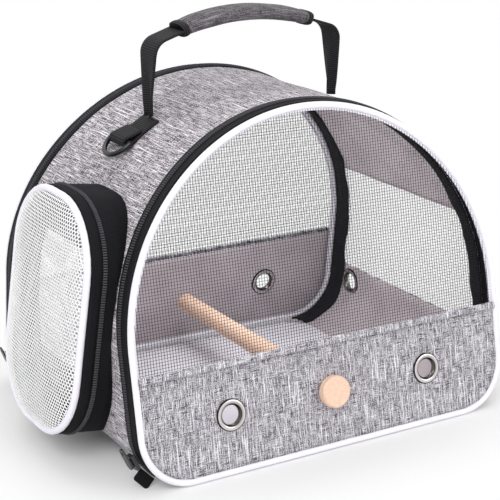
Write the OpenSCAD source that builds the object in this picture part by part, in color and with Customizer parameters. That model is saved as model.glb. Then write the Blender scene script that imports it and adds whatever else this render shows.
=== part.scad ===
// Soft-sided travel carrier for a small bird.
// Millimetres, Z up, X to the right of someone facing the front, front at -Y.
// The origin is at the middle of the underside.

/* [Body] */
// Outside width of the tunnel
body_w = 334; // [300:1:380]
// Height of the arch above the floor it stands on
body_h = 264; // [250:1:300]
// Depth between the two end panels, at the floor
base_d = 270; // [240:1:320]
// Radius of the two bottom corners
corner_r = 42; // [30:1:55]
// How much lower the arch is than a half circle as wide as the tunnel
arch_drop = 4; // [2:0.5:12]
// How much tighter the shoulders are than the arch is high
crown_drop = 4; // [2:0.5:12]
// How far the front panel leans back, in degrees
front_lean = 11; // [0:0.5:14]
// How far the back panel leans forward, in degrees
back_lean = 7; // [0:0.5:12]
// Thickness of the padded tunnel fabric
wall_t = 3; // [2:0.5:5]

/* [End panels] */
// Height of the top edge of the lower fabric band
band_h = 86; // [70:1:110]
// Thickness of the fabric band
band_t = 3; // [2:0.5:4]
// Thickness of the window net
net_t = 1; // [0.8:0.1:1.5]
// Pitch of the net's threads
net_pitch = 15; // [14:0.5:24]
// Width of one net thread
thread_w = 2; // [1.2:0.1:3]
// Width of the binding tape along the window's lower edge
binding_w = 6; // [4:0.5:10]
// Radius of the piping cord round each panel
piping_r = 2.75; // [2:0.25:4]

/* [Zips] */
// Width of the whole zip band, from panel edge to tunnel fabric
zip_w = 19; // [18:0.5:28]
// Distance from the panel edge to the join of the two tapes
zip_join = 12; // [10:0.5:13]
// Thickness of the zip tape
tape_t = 1.5; // [1:0.1:2]
// Width of the closed coil
coil_w = 4; // [3:0.2:5]
// Height of the coil above the tape
coil_h = 1.2; // [0.8:0.1:2]
// Length of a zip slider
slider_l = 12; // [9:0.5:16]
// Width of a zip slider
slider_w = 8; // [6:0.5:10]
// Height of a zip slider's body
slider_h = 3.4; // [2.5:0.1:5]
// Length of the puller tab
puller_l = 18; // [14:1:30]
// Width of the puller tab
puller_w = 8; // [6:0.5:12]
// How far the fabric tab at each zip's end stands out
tab_l = 10; // [6:0.5:12]
// Width of that tab along the zip
tab_w = 14; // [8:0.5:18]

/* [Eyelets and perch] */
// Radius of an eyelet's open bore
eyelet_bore_r = 7.5; // [5:0.5:9]
// Outside radius of an eyelet's flange
eyelet_r = 12.5; // [11:0.5:15]
// Wall of an eyelet's barrel
eyelet_wall = 1.2; // [0.8:0.1:1.6]
// Thickness of an eyelet's flanges
flange_t = 1; // [0.6:0.1:1.5]
// Distance of each eyelet from the middle of the panel
eyelet_x = 90; // [60:1:110]
// Height of the eyelets and of the perch
eyelet_z = 46; // [30:1:56]
// Radius of the wooden perch
perch_r = 8; // [6:0.5:10]
// Length of the perch, measured along its middle
perch_l = 238; // [150:1:240]
// Radius of the wooden nut outside the front panel
nut_r = 12.5; // [10:0.5:16]
// Thickness of the wooden nut
nut_t = 7; // [5:0.5:10]
// Radius of the screw through the band
screw_r = 2.5; // [2:0.25:3]

/* [Side windows] */
// Height of the lower edge of a side window
window_z = 58; // [48:1:70]
// Height of a side window
window_h = 98; // [70:1:105]
// Margin of fabric between a side window and the zips
window_edge = 5; // [3:0.5:20]
// Pitch of the side net's hexagonal holes
hex_pitch = 15; // [12:0.5:24]
// Distance across the flats of one hexagonal hole
hex_hole = 11.5; // [8:0.5:18]

/* [Side pockets] */
// Width of a pocket along the side
pocket_w = 134; // [120:1:140]
// Height of a pocket along its face
pocket_h = 186; // [150:1:190]
// How far the middle of the pocket's face stands off the side
pocket_d = 22; // [20:1:36]
// Distance from the front panel's foot to the pocket's front edge
pocket_gap = 51; // [46:1:70]
// Height of the middle of the pocket's face
pocket_z = 114; // [106:1:120]
// Lean of the pocket's face, in degrees
pocket_lean = 8; // [0:0.5:9]
// Radius of a pocket's two upper corners
pocket_top_r = 56; // [40:1:60]
// Radius of a pocket's two lower corners
pocket_low_r = 54; // [30:1:60]
// Rise of the net dome in the pocket's face
dome_h = 9; // [4:1:14]
// Depth of the half that opens with the face
cover_d = 11; // [9:0.5:14]
// Thickness of the pocket's side tape
pocket_t = 2; // [1.5:0.1:3]

/* [Handle] */
// Width of the webbing
strap_w = 25; // [20:1:32]
// Thickness of the webbing
strap_t = 2; // [1.5:0.1:3]
// Distance of each strap foot from the middle
strap_x = 84; // [70:1:96]
// Place of the handle along the depth
handle_y = 10; // [-10:1:20]
// Height of the underside of the grip above the arch
handle_gap = 50; // [40:1:80]
// Length of the padded grip
grip_l = 116; // [90:1:130]
// Width of the padded grip
grip_w = 29; // [25:1:36]
// Thickness of the padded grip
grip_t = 12; // [9:0.5:18]
// Radius of the strap's corners beside the grip
bend_r = 13; // [8:1:16]
// Width of the folded foot of each strap
foot_w = 9; // [6:0.5:14]

/* [D-rings] */
// Radius of the ring's wire
wire_r = 2; // [1.5:0.1:2.5]
// Room beside the webbing inside the ring
ring_room = 0.5; // [0.4:0.1:4]
// Place of the ring's bar round the arch, in degrees above level
ring_a = 51; // [47:0.5:54]

/* [Floor] */
// Thickness of the stiff floor board
board_t = 4; // [3:0.5:6]
// Radius of the floor board's corners
board_r = 24; // [10:1:40]

/* [Fits] */
// Gap between pieces that move past each other
gap = 0.5; // [0.4:0.05:0.8]
// Radial clearance of a pin in its hole
pin_fit = 0.06; // [0.03:0.01:0.1]

/* [Hidden] */

half_w = body_w / 2;
// The arch is drawn with three arcs: two shoulders, and a crown that joins them smoothly
rise = half_w - arch_drop;
spring_z = body_h - rise;
shoulder_r = rise - crown_drop;
shoulder_x = half_w - shoulder_r;
crown_r = (shoulder_x ^ 2 + rise ^ 2 - shoulder_r ^ 2) / (2 * (rise - shoulder_r));
crown_a = atan2(shoulder_x, crown_r - rise);
corner_x = half_w - corner_r;
big = 3 * body_w;
// Depth of the tape seam behind the middle of the piping
seam = sqrt(piping_r ^ 2 - (piping_r - tape_t) ^ 2);
// The panel's own layers, measured inwards from its outer plane
piping_y = 3;
band_y = piping_y - band_t / 2;
cord_sides = 8;
cord_flat = piping_r * cos(180 / cord_sides);
panel_inset = piping_r + cord_flat + 0.02;
net_rim = 2.5;
// Points per arc of the arch
corner_n = 8;
shoulder_n = 9;
crown_n = 22;
// Height where each zip's coil stops, at the bottom corners
coil_end_z = corner_r * 0.14;

// ---------- points and paths ----------

function arc(cx, cy, r, a0, a1, n) =
    [for (i = [0 : n]) let (a = a0 + (a1 - a0) * i / n) [cx + r * cos(a), cy + r * sin(a)]];

// The arch outline drawn in by "inset", anticlockwise from the right bottom corner
function outline(inset) = concat(
    arc(corner_x, corner_r, corner_r - inset, -90, 0, corner_n),
    arc(shoulder_x, spring_z, shoulder_r - inset, 0, 90 - crown_a, shoulder_n),
    [for (i = [1 : crown_n - 1])
        let (a = 90 - crown_a + 2 * crown_a * i / crown_n, r = crown_r - inset)
        [r * cos(a), body_h - crown_r + r * sin(a)]],
    arc(-shoulder_x, spring_z, shoulder_r - inset, 90 + crown_a, 180, shoulder_n),
    arc(-corner_x, corner_r, corner_r - inset, 180, 270, corner_n));

// The same outline as it lies in a leaning panel
function up_panel(z, lean) = piping_r + (z - piping_r) / cos(lean);
function panel_outline(inset, lean) = [for (p = outline(inset)) [p.x, up_panel(p.y, lean)]];

// Height of the arch, drawn in by "inset", over a place across the panel
function arch_top(x, inset, lean) = up_panel(abs(x) < (crown_r - inset) * sin(crown_a)
    ? body_h - crown_r + sqrt((crown_r - inset) ^ 2 - x ^ 2)
    : spring_z + sqrt(max(0, (shoulder_r - inset) ^ 2 - (abs(x) - shoulder_x) ^ 2)), lean);

// Half width of the arch, drawn in by "inset", at a height up the panel
function arch_side(v, inset, lean) = let (z = piping_r + (v - piping_r) * cos(lean))
    z < spring_z ? half_w - inset
        : z < spring_z + (shoulder_r - inset) * cos(crown_a)
        ? shoulder_x + sqrt((shoulder_r - inset) ^ 2 - (z - spring_z) ^ 2)
        : sqrt(max(0, (crown_r - inset) ^ 2 - (z - body_h + crown_r) ^ 2));

// A point of the arch, moved out by "out", where it faces "a" degrees above level
function arch_at(a, out) = a > 90 - crown_a
    ? [(crown_r + out) * cos(a), body_h - crown_r + (crown_r + out) * sin(a)]
    : [shoulder_x + (shoulder_r + out) * cos(a), spring_z + (shoulder_r + out) * sin(a)];

// Which way the arch faces over a place across it, in degrees above level
function arch_facing(x) = let (a = acos(x / crown_r)) a > 90 - crown_a
    ? a : acos((x - shoulder_x) / shoulder_r);

function rounded(w, h, top_r, low_r, n) = concat(
    arc(w / 2 - low_r, low_r - h / 2, low_r, -90, 0, n),
    arc(w / 2 - top_r, h / 2 - top_r, top_r, 0, 90, n),
    arc(top_r - w / 2, h / 2 - top_r, top_r, 90, 180, n),
    arc(low_r - w / 2, low_r - h / 2, low_r, 180, 270, n));

function unit(v) = v / norm(v);
function at(list, i) = list[(i + len(list)) % len(list)];

// A round cord along a closed loop of points in the XZ plane
module cord_loop(points, r) {
    n = len(points);
    m = cord_sides;
    rings = [for (i = [0 : n - 1])
        let (t = unit(at(points, i + 1) - at(points, i - 1)), side = [t.y, -t.x])
        for (k = [0 : m - 1])
            let (a = 360 * (k + 0.5) / m)
            [points[i].x + side.x * r * cos(a), r * sin(a), points[i].y + side.y * r * cos(a)]];
    faces = [for (i = [0 : n - 1], k = [0 : m - 1])
        let (j = (i + 1) % n, l = (k + 1) % m)
        for (f = [[i * m + k, i * m + l, j * m + l], [i * m + k, j * m + l, j * m + k]]) f];
    polyhedron(rings, faces, convexity = 8);
}

// A bar of oval section along an open path in the XZ plane
module oval_bar(points, w, t, sides) {
    n = len(points);
    last = n - 1;
    rings = [for (i = [0 : last])
        let (d = unit(points[min(i + 1, last)] - points[max(i - 1, 0)]), up = [-d.y, d.x])
        for (k = [0 : sides - 1])
            let (a = 360 * k / sides,
                 s = t / 2 * sign(sin(a)) * pow(abs(sin(a)), 0.7),
                 c = w / 2 * sign(cos(a)) * pow(abs(cos(a)), 0.7))
            [points[i].x + up.x * s, c, points[i].y + up.y * s]];
    skin = [for (i = [0 : last - 1], k = [0 : sides - 1])
        let (l = (k + 1) % sides)
        for (f = [[i * sides + k, (i + 1) * sides + k, (i + 1) * sides + l],
                  [i * sides + k, (i + 1) * sides + l, i * sides + l]]) f];
    ends = [[for (k = [0 : sides - 1]) k],
            [for (k = [0 : sides - 1]) last * sides + sides - 1 - k]];
    polyhedron(rings, concat(skin, ends), convexity = 4);
}

// A flat band of even thickness along an open path, as a plane figure
module strip(points, t) {
    last = len(points) - 1;
    sides = [for (s = [1, -1]) [for (i = [0 : last])
        let (d = unit(points[min(i + 1, last)] - points[max(i - 1, 0)]))
        points[i] + [-d.y, d.x] * s * t / 2]];
    polygon(concat(sides[0], [for (i = [0 : last]) sides[1][last - i]]));
}

// ---------- the leaning frames ----------

// Both start at the piping's bottom edge, which touches the floor
module at_front() {
    translate([0, piping_r - base_d / 2, piping_r]) rotate([-front_lean, 0, 0])
        translate([0, -piping_y, -piping_r]) children();
}

module at_back() {
    translate([0, base_d / 2 - piping_r, piping_r]) rotate([back_lean, 0, 0])
        translate([0, piping_y, -piping_r]) mirror([0, 1, 0]) children();
}

pocket_y = pocket_gap + pocket_w / 2 - base_d / 2;

module at_pocket() {
    translate([-half_w - pocket_d, pocket_y, pocket_z]) rotate([0, pocket_lean, 0]) children();
}

module on_right() {
    mirror([1, 0, 0]) children();
}

// Everything between "front" behind the front panel and "back" before the back panel
module slab(front, back) {
    intersection() {
        at_front() translate([-big / 2, front, -big / 2]) cube(big);
        at_back() translate([-big / 2, back, -big / 2]) cube(big);
    }
}

module along_y(y0, y1) {
    translate([0, y1, 0]) rotate([90, 0, 0]) linear_extrude(y1 - y0) children();
}

module arch_ring(outer, inner) {
    along_y(-big / 3, big / 3) difference() {
        polygon(outline(outer));
        polygon(outline(inner));
    }
}

// The tunnel's wall, without its flat bottom
module tunnel_ring(outer, inner) {
    difference() {
        arch_ring(outer, inner);
        translate([-corner_x, -big / 2, -big / 2]) cube([2 * corner_x, big, big / 2 + corner_r / 2]);
    }
}

// A strip of that wall, measured back from an end panel's outer plane
module strip_of(outer, inner, from, to, back = false) {
    intersection() {
        tunnel_ring(outer, inner);
        if (back) at_back() translate([-big / 2, from, -big / 2]) cube([big, to - from, big]);
        else at_front() translate([-big / 2, from, -big / 2]) cube([big, to - from, big]);
    }
}

// ---------- tunnel ----------

module window_cut() {
    intersection() {
        translate([-big / 2, -big / 2, window_z]) cube([big, big, window_h]);
        slab(zip_w + window_edge, zip_w + window_edge);
    }
}

// The eyelet's hole, and a flat seat for its inner flange on the curved wall
module side_eyelet_cut() {
    translate([-half_w, side_eyelet_y, side_eyelet_z]) rotate([0, 90, 0]) {
        cylinder(r = eyelet_bore_r + eyelet_wall + 0.1, h = 8 * wall_t, center = true, $fn = 48);
        translate([0, 0, wall_t]) cylinder(r = eyelet_r + 0.3, h = 4 * wall_t, $fn = 48);
    }
}

side_eyelet_y = base_d / 2 - zip_w - eyelet_r - 14;
side_eyelet_z = corner_r + 1;

// Height of the seam between each side panel and the top panel
seam_z = window_z + window_h + window_edge + 1;

module tunnel_panel(low, high, left, right) {
    color("#a6a2a6") intersection() {
        tunnel_ring(0, wall_t);
        slab(zip_w, zip_w);
        translate([left, -big / 2, low]) cube([right - left, big, high - low]);
    }
}

module gusset_left() {
    difference() {
        tunnel_panel(0, seam_z, -big / 2, 0);
        window_cut();
        side_eyelet_cut();
    }
}

module gusset_top() {
    tunnel_panel(seam_z + 0.05, big, -big / 2, big / 2);
}

module base_panel() {
    color("#a6a2a6")
        translate([-corner_x + 0.05, zip_join + gap - base_d / 2, 0])
            cube([2 * corner_x - 0.1, base_d - 2 * (zip_join + gap), wall_t]);
}

// Ends of the window at a height above the floor
function window_front(z) = piping_r - base_d / 2 + (z - piping_r) * tan(front_lean)
    + (zip_w + window_edge - piping_y) / cos(front_lean);
function window_back(z) = base_d / 2 - piping_r - (z - piping_r) * tan(back_lean)
    - (zip_w + window_edge - piping_y) / cos(back_lean);

module window_net() {
    half = hex_hole / cos(30) / 2;
    step_z = hex_pitch * cos(30);
    rows = floor((window_h - 2 * half - 3) / step_z);
    cols = ceil(base_d / hex_pitch);
    low = window_z + (window_h - rows * step_z) / 2;
    color("#e9e6e0") difference() {
        intersection() {
            arch_ring(wall_t / 2 - net_t / 2, wall_t / 2 + net_t / 2);
            window_cut();
            translate([-big, -big / 2, 0]) cube([big, big, big]);
        }
        for (j = [0 : rows], i = [-cols : cols])
            let (y = (i + (j % 2) / 2) * hex_pitch, z = low + j * step_z)
            if (y - half - 1.5 > window_front(z + half) && y + half + 1.5 < window_back(z + half))
            translate([-half_w - 20, y, z]) rotate([0, 90, 0])
                cylinder(r = half, h = 90, $fn = 6);
    }
}

module eyelet(cloth_t) {
    lip = eyelet_bore_r + eyelet_wall;
    color("#b9b6b2") rotate([90, 0, 0]) rotate_extrude($fn = 64)
        polygon([[eyelet_bore_r, -cloth_t / 2 - flange_t], [eyelet_r - 1, -cloth_t / 2 - flange_t],
            [eyelet_r, -cloth_t / 2], [lip, -cloth_t / 2], [lip, cloth_t / 2],
            [eyelet_r, cloth_t / 2], [eyelet_r - 1, cloth_t / 2 + flange_t],
            [eyelet_bore_r, cloth_t / 2 + flange_t]]);
}

module side_eyelet() {
    translate([-half_w + wall_t / 2, side_eyelet_y, side_eyelet_z])
        rotate([0, 0, 90]) eyelet(wall_t);
}

// ---------- zips ----------

module body_tape(back) {
    color("#1b1b1d") strip_of(0, tape_t, zip_join + gap, zip_w - 0.05, back);
}

module door_tape(back) {
    color("#1b1b1d") strip_of(0, tape_t, piping_y + seam, zip_join, back);
}

// The coil stops where the corner turns under
module coil(back) {
    color("#2b2b2e") difference() {
        strip_of(-coil_h, 0, zip_join + gap, zip_join + gap + coil_w, back);
        translate([-big / 2, -big / 2, -big]) cube([big, big, big + coil_end_z]);
    }
}

// A slider on its coil, at the foot of the left side, with its puller hanging along the tape
module slider_body(puller_turn = 0) {
    color("#3a3a3c") {
        difference() {
            translate([-slider_w / 2, 0, -slider_l / 2]) cube([slider_w, slider_h, slider_l]);
            translate([-coil_w / 2, -1, -slider_l]) cube([coil_w, 1 + coil_h / 4, 2 * slider_l]);
        }
        translate([-1.5, slider_h, -slider_l / 4]) cube([3, 1.6, slider_l / 2]);
        translate([0, slider_h + 1.6, 0]) rotate([0, puller_turn, 0]) rotate([-90, 0, 0]) difference() {
            union() {
                cylinder(d = puller_w, h = 1.4, $fn = 32);
                translate([-puller_w / 2, 0, 0]) cube([puller_w, puller_l - puller_w, 1.4]);
                translate([0, puller_l - puller_w, 0]) cylinder(d = puller_w, h = 1.4, $fn = 32);
            }
            translate([0, puller_l - puller_w, -1]) cylinder(d = 2.6, h = 4, $fn = 24);
        }
    }
}

slider_turn = 22;
tab_turn = 43;

module corner_slider() {
    // Turned round the middle of the left bottom corner, from the left side towards the floor
    translate([-corner_x, zip_join + gap + coil_w / 2, corner_r])
        rotate([0, -slider_turn, 0])
            translate([-corner_r - coil_h - 0.4, 0, 0]) rotate([0, 0, 90]) slider_body(180);
}

// A fabric tab over the end of each zip, below the slider's parking place
module corner_tab() {
    color("#2a2a2d") translate([-corner_x, zip_w - 2, corner_r]) rotate([0, -tab_turn, 0])
        rotate([90, 0, 0]) linear_extrude(1.6, center = true) hull() {
            translate([-corner_r - 0.5, 0]) square([0.8, tab_w], center = true);
            for (s = [-1, 1])
                translate([-corner_r - tab_l + 2, s * (tab_w / 2 - 2)]) circle(r = 2, $fn = 24);
        }
}

module front_slider() {
    at_front() corner_slider();
}

module back_slider() {
    at_back() corner_slider();
}

// ---------- end panels ----------

module panel_sheet(lean, y0, y1, z0, z1) {
    along_y(y0, y1) intersection() {
        polygon(panel_outline(panel_inset, lean));
        translate([-big / 2, z0]) square([big, z1 - z0]);
    }
}

module band(lean, hole_r) {
    color("#a9a6aa") difference() {
        panel_sheet(lean, band_y, band_y + band_t, 0, band_h);
        for (s = [-1, 1])
            translate([s * eyelet_x, band_y, eyelet_z]) rotate([90, 0, 0])
                cylinder(r = eyelet_bore_r + eyelet_wall, h = 20, center = true, $fn = 48);
        if (hole_r > 0)
            translate([0, band_y, eyelet_z]) rotate([90, 0, 0])
                cylinder(r = hole_r, h = 20, center = true, $fn = 48);
    }
}

// One hole of the net, cut off where it would reach the arch
function net_hole(x0, z0, cell, inset, lean) =
    let (z1 = z0 + cell, x1 = min(x0 + cell, arch_side(z0, inset, lean)),
         xs = min(x1, max(x0, arch_side(z1, inset, lean))), xm = (xs + x1) / 2)
    [[x0, z0], [x1, z0],
     [x1, min(z1, max(z0 + 0.2, arch_top(x1 - 0.01, inset, lean)))],
     [xm, min(z1, arch_top(xm, inset, lean))], [xs, min(z1, arch_top(xs, inset, lean))],
     [x0, min(z1, arch_top(x0, inset, lean))]];

function clean(list) = [for (i = [0 : len(list) - 1])
    if (norm(list[i] - at(list, i + 1)) > 0.1) list[i]];

// The window net: one sheet with a grid of four-sided holes that stops at the arch
module net(lean) {
    inset = panel_inset + net_rim;
    low = band_h + binding_w / 2;
    cell = net_pitch - thread_w;
    cols = ceil((half_w - inset) / net_pitch);
    rows = ceil((body_h / cos(lean) - low) / net_pitch);
    holes = [for (i = [0 : cols], j = [0 : rows])
        let (x0 = i * net_pitch + thread_w / 2, z0 = low + j * net_pitch)
        if (x0 + 3 < arch_side(z0, inset, lean) && z0 + 3 < arch_top(x0, inset, lean))
        clean(net_hole(x0, z0, cell, inset, lean))];
    color("#26272a") along_y(piping_y - net_t / 2, piping_y + net_t / 2) difference() {
        intersection() {
            polygon(panel_outline(panel_inset, lean));
            translate([-big / 2, band_h]) square([big, big]);
        }
        for (h = holes) {
            polygon(h);
            polygon([for (p = h) [-p.x, p.y]]);
        }
    }
}

module binding(lean) {
    color("#8f8c92") difference() {
        panel_sheet(lean, band_y - 0.6, band_y + band_t + 0.6, band_h - binding_w / 2,
            band_h + binding_w / 2);
        panel_sheet(lean, band_y, band_y + band_t, 0, band_h);
        translate([-big / 2, piping_y - net_t / 2, band_h]) cube([big, net_t, binding_w]);
    }
}

module piping(lean) {
    color("#f4f2f6") translate([0, piping_y, 0])
        cord_loop(panel_outline(piping_r, lean), piping_r);
}

module front_band() {
    at_front() band(front_lean, screw_r + 1);
}

module back_band() {
    at_back() band(back_lean, 0);
}

module panel_eyelet(side) {
    translate([side * eyelet_x, piping_y, eyelet_z]) eyelet(band_t);
}

// ---------- perch ----------

module perch() {
    // Level, with its front end cut to lie flat on the leaning band
    color("#d9b48a") difference() {
        intersection() {
            translate([0, -base_d / 2, piping_r + (eyelet_z - piping_r) * cos(front_lean)])
                rotate([-90, 0, 0])
                    cylinder(r = perch_r, h = perch_l + eyelet_z * sin(front_lean), $fn = 64);
            slab(band_y + band_t + 0.1, 0);
        }
        at_front() translate([0, 0, eyelet_z]) rotate([-90, 0, 0])
            cylinder(r = screw_r, h = 24, $fn = 32);
    }
}

module perch_screw() {
    color("#b9b6b2") at_front() translate([0, 1 - nut_t + band_y, eyelet_z]) rotate([-90, 0, 0])
        cylinder(r = screw_r, h = nut_t - 1 - band_y + 24, $fn = 32);
}

module perch_nut() {
    color("#e3c7a2") at_front() translate([0, band_y - gap, eyelet_z]) rotate([90, 0, 0])
        difference() {
            rotate_extrude($fn = 64) polygon([[0, 0], [nut_r - 0.6, 0], [nut_r, 0.6],
                [nut_r, nut_t - 1.2], [nut_r - 1.2, nut_t], [0, nut_t]]);
            translate([0, 0, -1]) cylinder(r = screw_r + pin_fit, h = nut_t, $fn = 32);
        }
}

// ---------- pockets ----------

module pocket_ring(x0, x1, grow, wall) {
    translate([x0, 0, 0]) rotate([90, 0, 90]) linear_extrude(x1 - x0) difference() {
        polygon(rounded(pocket_w + 2 * grow, pocket_h + 2 * grow, pocket_top_r + grow,
            pocket_low_r + grow, 10));
        polygon(rounded(pocket_w + 2 * (grow - wall), pocket_h + 2 * (grow - wall),
            pocket_top_r + grow - wall, pocket_low_r + grow - wall, 10));
    }
}

module pocket_base() {
    color("#1b1b1d") difference() {
        at_pocket() pocket_ring(cover_d + gap, pocket_d + 90, 0, pocket_t);
        along_y(-big / 3, big / 3) polygon(outline(0));
    }
}

module pocket_coil() {
    color("#2b2b2e") at_pocket() pocket_ring(cover_d + gap, cover_d + gap + coil_w, coil_h, coil_h);
}

module pocket_cover() {
    color("#1b1b1d") at_pocket() pocket_ring(0.4 + cord_flat + 0.02, cover_d, 0, pocket_t);
}

module pocket_piping() {
    color("#f4f2f6") at_pocket() translate([0.4, 0, 0]) rotate([0, 0, 90])
        cord_loop(rounded(pocket_w - 2 * piping_r, pocket_h - 2 * piping_r,
            pocket_top_r - piping_r, pocket_low_r - piping_r, 10), piping_r);
}

module pocket_net() {
    steps = 5;
    inset = panel_inset;
    w = pocket_w - 2 * inset;
    h = pocket_h - 2 * inset;
    base = rounded(w, h, pocket_top_r - inset, pocket_low_r - inset, 8);
    n = len(base);
    shell = [for (side = [0, 1], s = [0 : steps])
        let (a = 90 * s / steps, k = cos(a), d = dome_h * sin(a) - side * net_t)
        for (p = base) [-d, p.x * k, p.y * k]];
    ring = steps + 1;
    skin = [for (side = [0, 1], s = [0 : steps - 1], i = [0 : n - 1])
        let (b = side * ring * n, j = (i + 1) % n,
             q = [b + s * n + i, b + s * n + j, b + (s + 1) * n + j, b + (s + 1) * n + i])
        for (f = side == 0 ? [[q[0], q[1], q[2]], [q[0], q[2], q[3]]]
                           : [[q[0], q[2], q[1]], [q[0], q[3], q[2]]]) f];
    rim = [for (i = [0 : n - 1]) let (j = (i + 1) % n, b = ring * n)
        for (f = [[i, b + i, b + j], [i, b + j, j]]) f];
    color("#f1f1ef") at_pocket() polyhedron(shell, concat(skin, rim), convexity = 4);
}

module pocket_slider() {
    // On the straight part of the pocket's lower edge, towards the back
    color("#3a3a3c") at_pocket()
        translate([cover_d + gap + coil_w / 2, slider_l / 2, -pocket_h / 2 - coil_h - 0.4])
            rotate([-90, 0, 0]) slider_body(180);
}

// ---------- handle and rings ----------

foot_z = arch_at(arch_facing(strap_x - strap_t / 2), strap_t).y + foot_w / 2 + gap + 0.5;
grip_z = body_h + handle_gap + grip_t / 2;
grip_sag = 9;
grip_arc_r = ((grip_l / 2) ^ 2 + grip_sag ^ 2) / (2 * grip_sag);
grip_a = asin(grip_l / 2 / grip_arc_r);

function grip_path(n) =
    [for (i = [-n : n]) let (a = 90 - grip_a * i / n)
        [grip_arc_r * cos(a), grip_z - grip_arc_r + grip_arc_r * sin(a)]];

// From the grip's left end down to the foot
function leg_path() = let (e = grip_path(1)[0], a = grip_a,
        run = strap_x - grip_l / 2 - bend_r,
        c = [-strap_x + bend_r, e.y - run * tan(a) - bend_r * 1.05])
    concat([e + [0.02, 0]], arc(c.x, c.y, bend_r, 90 + a, 180, 6), [[-strap_x, foot_z]]);

module handle_strap_left() {
    top = foot_z + 46;
    color("#1d1d1f") intersection() {
        translate([0, handle_y, 0]) along_y(-strap_w / 2, strap_w / 2) strip(leg_path(), strap_t);
        translate([-big / 2, handle_y, 0]) rotate([90, 0, 90]) linear_extrude(big) union() {
            polygon([[-foot_w / 2, foot_z], [foot_w / 2, foot_z], [strap_w / 2, top],
                [strap_w / 2, big], [-strap_w / 2, big], [-strap_w / 2, top]]);
            translate([0, foot_z]) circle(d = foot_w, $fn = 32);
        }
    }
}

module handle_strap_right() {
    on_right() handle_strap_left();
}

module handle_grip() {
    color("#a6a2a6") translate([0, handle_y, 0]) oval_bar(grip_path(8), grip_w, grip_t, 16);
}

// The ring's bar lies on the webbing, where the arch faces "ring_a" degrees above level
bar_at = arch_at(ring_a, strap_t + wire_r + gap);

module at_ring() {
    translate([-bar_at.x, handle_y, bar_at.y]) rotate([0, ring_a, 0]) children();
}

// Webbing sewn along the arch: it runs down under the ring's bar, turns back over it and is
// sewn down on itself
module sewn_strap_profile() {
    hole = wire_r + gap;
    tail = 7 * strap_t;
    low_a = ring_a + 0.7 * tail / crown_r * 180 / PI;
    high_a = arch_facing(strap_x - strap_t);
    path = [for (i = [0 : 8]) low_a + (high_a - low_a) * i / 8];
    translate([-bar_at.x, bar_at.y]) rotate(180 - ring_a) difference() {
        polygon(concat([[strap_t - hole, -tail]], arc(0, 0, hole + strap_t, 0, 180, 10),
            [[-hole - strap_t, -tail]]));
        polygon(concat(arc(0, 0, hole, 0, 180, 10), [[-hole, -0.7 * tail]]));
    }
    mirror([1, 0]) polygon(concat([for (a = path) arch_at(a, 0)],
        [for (i = [0 : 8]) arch_at(path[8 - i], strap_t)]));
}

module sewn_strap_left() {
    color("#1d1d1f") translate([0, handle_y, 0]) along_y(-strap_w / 2, strap_w / 2)
        sewn_strap_profile();
}

module sewn_strap_right() {
    on_right() sewn_strap_left();
}

module d_ring_left() {
    // The bar runs along Y through the loop; the bow hangs down the shoulder
    bow = sqrt((strap_w / 2 + ring_room) ^ 2 + (wire_r + gap + strap_t) ^ 2) + wire_r;
    color("#202022") at_ring() {
        rotate([90, 0, 0]) cylinder(r = wire_r, h = 2 * bow, center = true, $fn = 32);
        rotate([0, 0, 90]) rotate([90, 0, 0]) rotate([0, 0, 180])
            rotate_extrude(angle = 180, $fn = 64) translate([bow, 0]) circle(r = wire_r, $fn = 32);
    }
}

module d_ring_right() {
    on_right() d_ring_left();
}

module floor_board() {
    inset = corner_x - 4;
    depth = base_d - 2 * (zip_w + 6);
    color("#8d8a90") translate([0, 0, wall_t + gap]) linear_extrude(board_t)
        polygon(rounded(2 * inset, depth, board_r, board_r, 8));
}

gusset_left();
on_right() gusset_left();  // gusset_right
gusset_top();
base_panel();
window_net();  // window_net_left
on_right() window_net();  // window_net_right
side_eyelet();  // side_eyelet_left
on_right() side_eyelet();  // side_eyelet_right
body_tape(false);  // front_body_tape
coil(false);  // front_coil
body_tape(true);  // back_body_tape
coil(true);  // back_coil
at_front() corner_tab();  // front_zip_tab
at_back() corner_tab();  // back_zip_tab
front_band();
at_front() net(front_lean);  // front_net
at_front() binding(front_lean);  // front_binding
at_front() piping(front_lean);  // front_piping
door_tape(false);  // front_door_tape
at_front() panel_eyelet(-1);  // front_eyelet_left
at_front() panel_eyelet(1);  // front_eyelet_right
perch();
perch_screw();
perch_nut();
back_band();
at_back() net(back_lean);  // back_net
at_back() binding(back_lean);  // back_binding
at_back() piping(back_lean);  // back_piping
door_tape(true);  // back_door_tape
at_back() panel_eyelet(-1);  // back_eyelet_left
at_back() panel_eyelet(1);  // back_eyelet_right
front_slider();
back_slider();
pocket_base();
pocket_coil();
pocket_cover();
pocket_piping();
pocket_net();
pocket_slider();
sewn_strap_left();
sewn_strap_right();
d_ring_left();
d_ring_right();
handle_strap_left();
handle_strap_right();
handle_grip();
floor_board();
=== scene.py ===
# %% [markdown]
# # A soft carrier for a small bird
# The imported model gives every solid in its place: an arched tunnel of padded fabric, a net
# door on a zip at each end, a pocket on the left side and a padded handle. The solids are
# plain, so this lesson sews the cloth, nets, cords and zips over them, one piece at a time,
# in metres.

# %% Load the frame
import bpy
import bmesh
import math
from mathutils import Matrix, Vector, noise


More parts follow.
